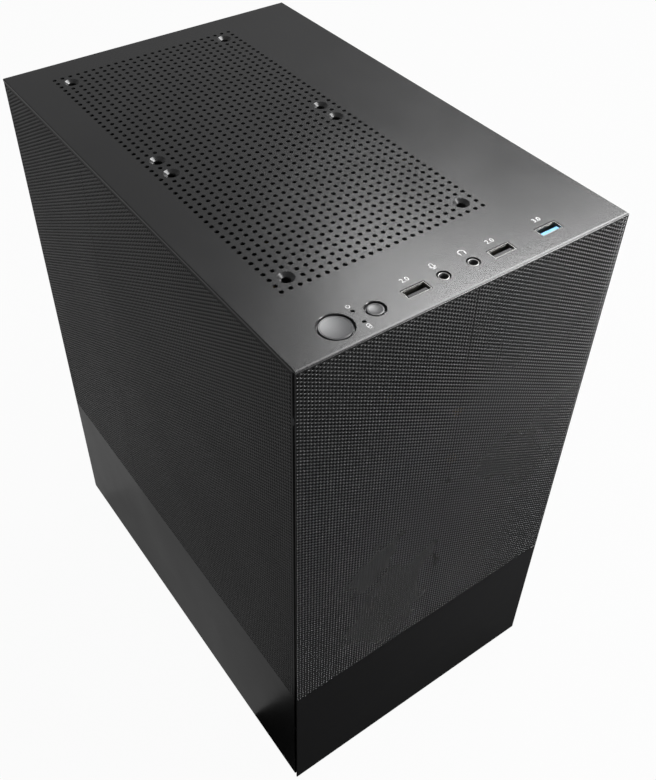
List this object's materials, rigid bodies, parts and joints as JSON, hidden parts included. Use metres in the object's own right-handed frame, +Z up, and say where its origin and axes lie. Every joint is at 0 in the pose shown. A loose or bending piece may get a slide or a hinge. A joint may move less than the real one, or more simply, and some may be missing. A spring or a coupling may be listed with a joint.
{
  "type": "micro atx pc case",
  "caption": "Upright computer case of black sheet steel with a perforated top, a mesh front, a mesh left side, and buttons and sockets along the top's front strip.",
  "frame": {"origin": "centre of the bounding box at the underside of the feet", "axes": "+Z up, the mesh front faces -Y, the mesh side panel faces -X"},
  "size_m": [0.199, 0.3174, 0.39],
  "materials": {
    "black_steel": "satin powder coat",
    "black_plastic": "matt",
    "button_plastic": "satin",
    "white_plastic": "satin",
    "blue_plastic": "satin",
    "lamp_plastic": "clear",
    "circuit_board": "solder mask",
    "nickel": "nickel plated",
    "zinc_steel": "zinc plated",
    "thumbscrew": "black plated",
    "brass": "machined",
    "rubber": "matt",
    "filter_net": "woven nylon"
  },
  "bodies": {
    "chassis": {"floor_pan": "black_steel", "front_frame": "black_steel", "rear_panel": "black_steel", "top_panel": "black_steel", "mainboard_tray": "black_steel", "tray_angles": "black_steel", "psu_shroud": "black_steel", "drive_cage": "black_steel", "ssd_bracket": "black_steel", "slot_cover_1": "black_steel", "slot_cover_2": "black_steel", "slot_cover_3": "black_steel", "slot_cover_4": "black_steel", "slot_guard": "black_steel", "io_housing": "black_plastic", "ball_catches": "black_plastic", "foot_front_left": "black_plastic", "foot_front_right": "black_plastic", "foot_rear_left": "black_plastic", "foot_rear_right": "black_plastic", "power_switch": "black_plastic", "reset_switch": "black_plastic", "data_port_1_tongue": "black_plastic", "data_port_2_tongue": "black_plastic", "fast_port_tongue": "blue_plastic", "power_lamp": "lamp_plastic", "drive_lamp": "lamp_plastic", "io_board": "circuit_board", "data_port_1": "nickel", "data_port_2": "nickel", "fast_port": "nickel", "mic_jack": "nickel", "headphone_jack": "nickel", "slot_screws": "zinc_steel", "foot_screws": "zinc_steel", "io_screws": "zinc_steel", "guard_thumbscrew": "thumbscrew", "bracket_thumbscrew": "thumbscrew", "standoffs": "brass", "foot_pads": "rubber", "psu_pads": "rubber"},
    "left_panel": {"left_side_panel": "black_steel", "left_panel_studs": "zinc_steel"},
    "right_panel": {"right_side_panel": "black_steel", "right_panel_studs": "zinc_steel"},
    "front_cover": {"front_panel": "black_steel", "front_panel_frame": "black_plastic"},
    "power_key": {"power_button": "button_plastic", "power_plunger": "white_plastic"},
    "reset_key": {"reset_button": "button_plastic", "reset_plunger": "white_plastic"},
    "floor_filter": {"filter_frame": "black_plastic", "filter_net": "filter_net"}
  },
  "joints": [
    {"name": "left_panel_off", "type": "slide", "parent": "chassis", "child": "left_panel", "axis": [-1, 0, 0], "range_m": [0, 0.08]},
    {"name": "right_panel_off", "type": "slide", "parent": "chassis", "child": "right_panel", "axis": [1, 0, 0], "range_m": [0, 0.08]},
    {"name": "front_cover_off", "type": "slide", "parent": "chassis", "child": "front_cover", "axis": [0, -1, 0], "range_m": [0, 0.1]},
    {"name": "power_button_press", "type": "slide", "parent": "chassis", "child": "power_key", "axis": [0, 0, -1], "range_m": [0, 0.001], "stiffness_N_per_m": 500},
    {"name": "reset_button_press", "type": "slide", "parent": "chassis", "child": "reset_key", "axis": [0, 0, -1], "range_m": [0, 0.001], "stiffness_N_per_m": 400},
    {"name": "floor_filter_slide", "type": "slide", "parent": "chassis", "child": "floor_filter", "axis": [0, 1, 0], "range_m": [0, 0.18]}
  ]
}
